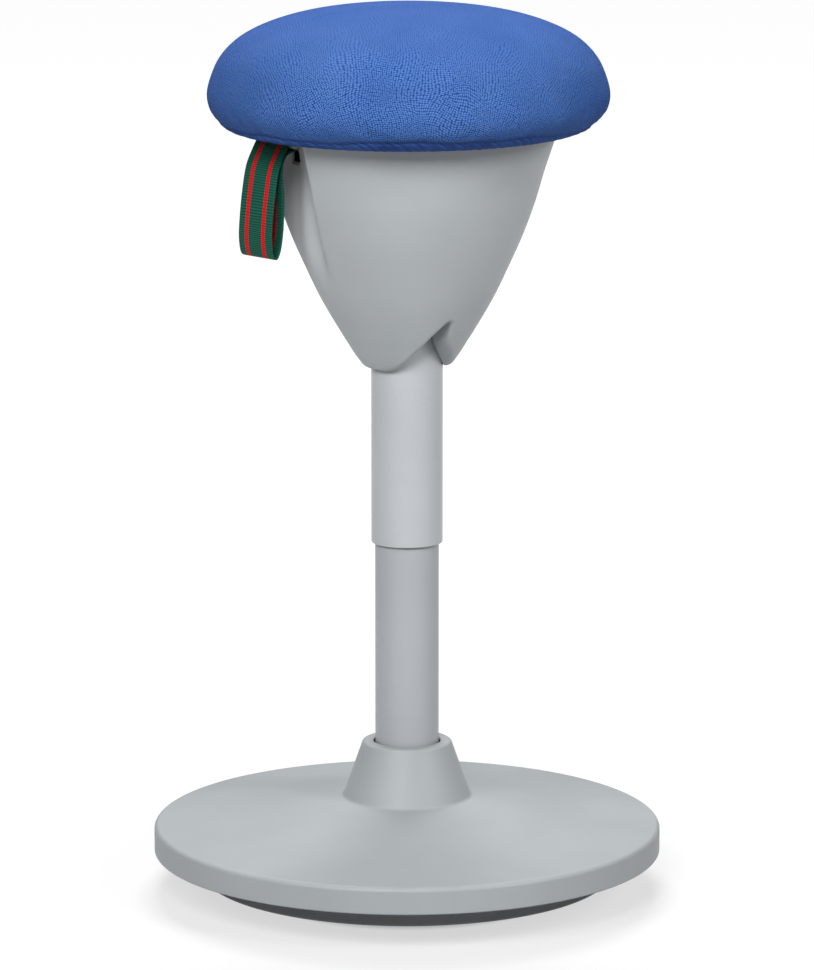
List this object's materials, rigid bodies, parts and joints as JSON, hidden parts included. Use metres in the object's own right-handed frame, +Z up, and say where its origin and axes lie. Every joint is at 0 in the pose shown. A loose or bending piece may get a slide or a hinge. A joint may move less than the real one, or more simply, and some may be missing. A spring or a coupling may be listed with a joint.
{
  "type": "wobble stool",
  "caption": "Height-adjustable sit-stand stool that rocks on a domed rubber foot, with a round cushion on a gas lift and webbing pull loops.",
  "frame": {"origin": "middle of the flat patch under the rocker pad, on the floor", "axes": "+Z up along the column, -Y towards the front, +X to the right as seen from the front"},
  "size_m": [0.4, 0.4, 0.7045],
  "materials": {
    "pad_rubber": "dark grey moulded rubber, fine matt grain",
    "ballast_iron": "as-cast iron, dark oxide",
    "grey_moulding": "satin grey injection moulding with a very fine grain",
    "grey_tube": "grey powder coat, satin",
    "zinc_steel": "bright zinc-plated steel",
    "black_steel": "black powder-coated steel",
    "black_moulding": "black moulded plastic",
    "plywood": "birch plywood, sanded",
    "seat_foam": "open-cell upholstery foam",
    "blue_fabric": "blue crinkled knit upholstery fabric",
    "striped_webbing": "dark green ribbed webbing with narrow red stripes"
  },
  "bodies": {
    "base": {"rocker_pad": "pad_rubber", "ballast_plate": "ballast_iron", "base_cover": "grey_moulding", "column_socket": "black_steel", "stand_tube": "grey_tube", "tube_end_plate": "zinc_steel", "guide_bush": "black_moulding", "bearing_lower_washer": "zinc_steel", "bearing_ball_cage": "zinc_steel", "pad_screw_1": "zinc_steel", "pad_screw_2": "zinc_steel", "pad_screw_3": "zinc_steel", "pad_screw_4": "zinc_steel", "cover_screw_1": "zinc_steel", "cover_screw_2": "zinc_steel", "cover_screw_3": "zinc_steel", "cover_screw_4": "zinc_steel", "socket_bolt_1": "zinc_steel", "socket_bolt_2": "zinc_steel", "socket_bolt_3": "zinc_steel", "socket_bolt_4": "zinc_steel"},
    "rod": {"piston_rod": "zinc_steel", "rod_clip": "black_steel", "bearing_upper_washer": "zinc_steel", "bump_rubber": "pad_rubber", "piston": "black_moulding"},
    "seat": {"gas_cylinder": "black_steel", "cylinder_gland": "black_moulding", "outer_sleeve": "grey_tube", "sleeve_ring": "black_moulding", "seat_bracket": "black_steel", "seat_board": "plywood", "seat_foam": "seat_foam", "seat_cover": "blue_fabric", "shroud": "grey_moulding", "shroud_clip_1": "black_moulding", "shroud_clip_2": "black_moulding", "shroud_clip_3": "black_moulding", "shroud_clip_4": "black_moulding", "bracket_bolt_1": "zinc_steel", "bracket_bolt_2": "zinc_steel", "bracket_bolt_3": "zinc_steel", "bracket_bolt_4": "zinc_steel", "tee_nut_1": "zinc_steel", "tee_nut_2": "zinc_steel", "tee_nut_3": "zinc_steel", "tee_nut_4": "zinc_steel", "lever_pivot_pin": "zinc_steel", "carry_hanger": "black_steel", "carry_loop": "striped_webbing", "hanger_screw": "zinc_steel"},
    "lever": {"release_lever": "black_steel", "pull_loop": "striped_webbing"},
    "valve": {"valve_pin": "zinc_steel"}
  },
  "joints": [
    {"name": "seat_swivel", "type": "hinge", "parent": "base", "child": "rod", "pos_m": [0, 0, 0.06], "axis": [0, 0, 1], "continuous": true},
    {"name": "height_lift", "type": "slide", "parent": "rod", "child": "seat", "axis": [0, 0, 1], "range_m": [-0.15, 0]},
    {"name": "lever_pull", "type": "hinge", "parent": "seat", "child": "lever", "pos_m": [0.02911, 0.00726, 0.5957], "axis": [0.2419, -0.9703, 0], "range_deg": [0, 3.8], "stiffness_Nm_per_rad": 20, "springref_deg": -8.59},
    {"name": "valve_press", "type": "slide", "parent": "seat", "child": "valve", "axis": [0, 0, 1], "range_m": [-0.0022, 0]}
  ],
  "couplings": [
    {"joint": "valve_press", "follows": "lever_pull", "m_per_rad": -0.03}
  ]
}
